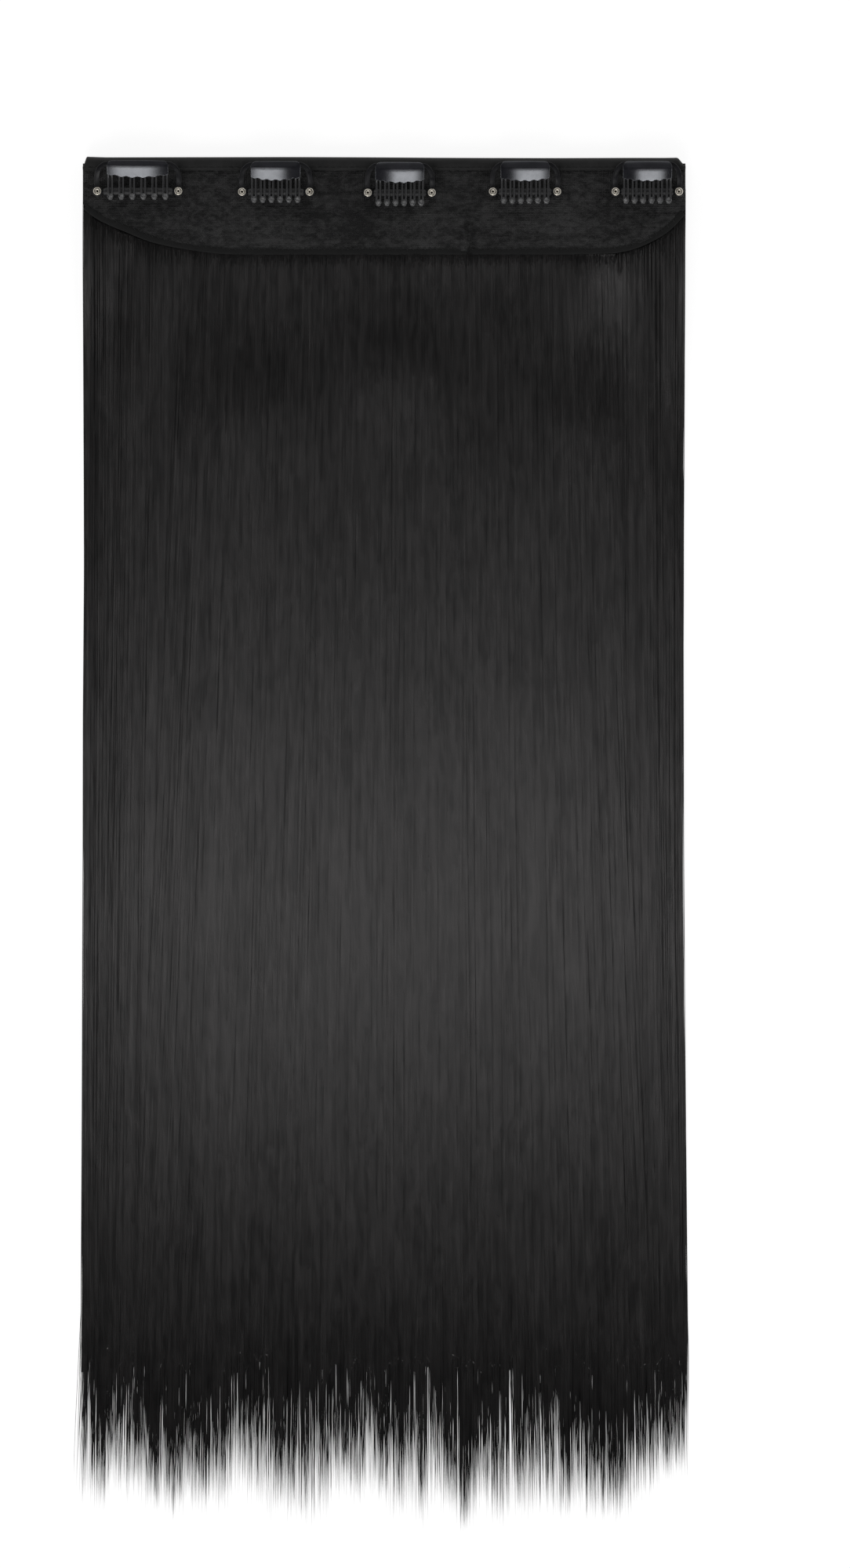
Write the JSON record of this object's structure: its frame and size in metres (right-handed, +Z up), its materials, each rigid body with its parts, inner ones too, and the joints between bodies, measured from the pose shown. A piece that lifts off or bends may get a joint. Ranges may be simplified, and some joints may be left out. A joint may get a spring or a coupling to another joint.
{
  "type": "clip-in hair extension",
  "caption": "One-piece clip-in hair extension: long straight dark hair on sewn wefts under a half-moon net base with a folded top edge and a row of snap comb clips.",
  "frame": {"origin": "centre of the bounding box at the surface the extension lies on", "axes": "+X along the clip edge, left to right as the clips are seen; +Y from the hair tips to the clip edge; +Z up, towards the clips and the wearer's head"},
  "size_m": [0.2782, 0.6222, 0.0142],
  "materials": {
    "net": "fine black net cloth, matt",
    "tape": "black folded tape, slight sheen",
    "hair": "straight off-black synthetic hair fibre, soft sheen",
    "clip_lacquer": "glossy black lacquer on spring steel",
    "silicone": "smoky translucent silicone tube",
    "rivet_metal": "pale gold plated, polished"
  },
  "bodies": {
    "base": {"base_net": "net", "hem_tape": "tape", "top_binding": "tape", "hair_row_1": "hair", "hair_row_2": "hair", "hair_row_3": "hair", "hair_row_4": "hair", "clip_1_leg_left": "clip_lacquer", "clip_1_leg_right": "clip_lacquer", "clip_1_bar": "clip_lacquer", "clip_1_sleeve": "silicone", "clip_1_rivet_left": "rivet_metal", "clip_1_rivet_right": "rivet_metal", "clip_2_leg_left": "clip_lacquer", "clip_2_leg_right": "clip_lacquer", "clip_2_bar": "clip_lacquer", "clip_2_sleeve": "silicone", "clip_2_rivet_left": "rivet_metal", "clip_2_rivet_right": "rivet_metal", "clip_3_leg_left": "clip_lacquer", "clip_3_leg_right": "clip_lacquer", "clip_3_bar": "clip_lacquer", "clip_3_sleeve": "silicone", "clip_3_rivet_left": "rivet_metal", "clip_3_rivet_right": "rivet_metal", "clip_4_leg_left": "clip_lacquer", "clip_4_leg_right": "clip_lacquer", "clip_4_bar": "clip_lacquer", "clip_4_sleeve": "silicone", "clip_4_rivet_left": "rivet_metal", "clip_4_rivet_right": "rivet_metal", "clip_5_leg_left": "clip_lacquer", "clip_5_leg_right": "clip_lacquer", "clip_5_bar": "clip_lacquer", "clip_5_sleeve": "silicone", "clip_5_rivet_left": "rivet_metal", "clip_5_rivet_right": "rivet_metal"},
    "snap_1": {"clip_1_comb": "clip_lacquer"},
    "snap_2": {"clip_2_comb": "clip_lacquer"},
    "snap_3": {"clip_3_comb": "clip_lacquer"},
    "snap_4": {"clip_4_comb": "clip_lacquer"},
    "snap_5": {"clip_5_comb": "clip_lacquer"}
  },
  "joints": [
    {"name": "clip_1_snap", "type": "hinge", "parent": "base", "child": "snap_1", "pos_m": [-0.11192, 0.3043, 0.0139], "axis": [-1, 0, 0], "range_deg": [0, 35]},
    {"name": "clip_2_snap", "type": "hinge", "parent": "base", "child": "snap_2", "pos_m": [-0.04922, 0.304, 0.0139], "axis": [-1, 0, 0], "range_deg": [0, 35]},
    {"name": "clip_3_snap", "type": "hinge", "parent": "base", "child": "snap_3", "pos_m": [0.00715, 0.3036, 0.0139], "axis": [-1, 0, 0], "range_deg": [0, 35]},
    {"name": "clip_4_snap", "type": "hinge", "parent": "base", "child": "snap_4", "pos_m": [0.06407, 0.3041, 0.0139], "axis": [-1, 0, 0], "range_deg": [0, 35]},
    {"name": "clip_5_snap", "type": "hinge", "parent": "base", "child": "snap_5", "pos_m": [0.11962, 0.3041, 0.0139], "axis": [-1, 0, 0], "range_deg": [0, 35]}
  ]
}
